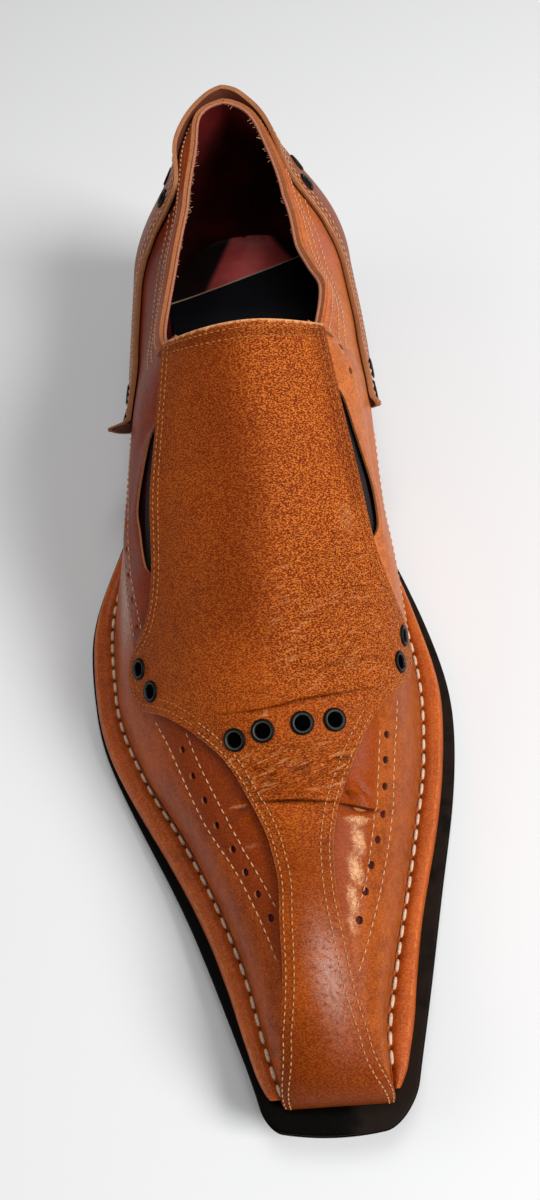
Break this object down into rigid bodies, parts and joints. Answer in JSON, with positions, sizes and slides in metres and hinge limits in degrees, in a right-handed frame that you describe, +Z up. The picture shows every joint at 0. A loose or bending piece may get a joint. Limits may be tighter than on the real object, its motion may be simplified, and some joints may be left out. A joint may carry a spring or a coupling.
{
  "type": "square toe dress shoe",
  "caption": "Slip-on leather dress shoe for the right foot with a long square toe, a grained apron with side wings, a heel cover, a stitched welt and a low block heel.",
  "frame": {"origin": "centre of the shoe's footprint box, on the floor", "axes": "+Z up, the toe points to -Y, the heel to +Y, the outer side of the foot to -X"},
  "size_m": [0.1196, 0.3178, 0.1066],
  "materials": {
    "sole": "black-brown edge-dressed sole leather, slightly worn",
    "heel": "black-brown heel block",
    "sock": "burgundy sock lining",
    "upper_leather": "smooth tan leather with creases",
    "apron_leather": "pebble-grained tan leather",
    "counter_leather": "smooth brown-tan leather",
    "welt_leather": "smooth rolled tan leather",
    "elastic": "dark woven elastic",
    "enamel": "black enamelled eyelet"
  },
  "bodies": {
    "root": {"outsole": "sole", "heel": "heel", "insole": "sock", "upper": "upper_leather", "apron": "apron_leather", "counter": "counter_leather", "welt_lateral": "welt_leather", "welt_medial": "welt_leather", "gore_lateral": "elastic", "gore_medial": "elastic", "eyelet_apron_1": "enamel", "eyelet_apron_2": "enamel", "eyelet_apron_3": "enamel", "eyelet_apron_4": "enamel", "eyelet_wing_lateral_rear": "enamel", "eyelet_wing_lateral_front": "enamel", "eyelet_wing_medial_rear": "enamel", "eyelet_wing_medial_front": "enamel", "eyelet_counter_lateral_rear": "enamel", "eyelet_counter_lateral_front": "enamel", "eyelet_counter_medial_rear": "enamel", "eyelet_counter_medial_front": "enamel", "eyelet_tab_lateral_rear": "enamel", "eyelet_tab_lateral_front": "enamel", "eyelet_tab_medial_rear": "enamel", "eyelet_tab_medial_front": "enamel"}
  },
  "joints": []
}
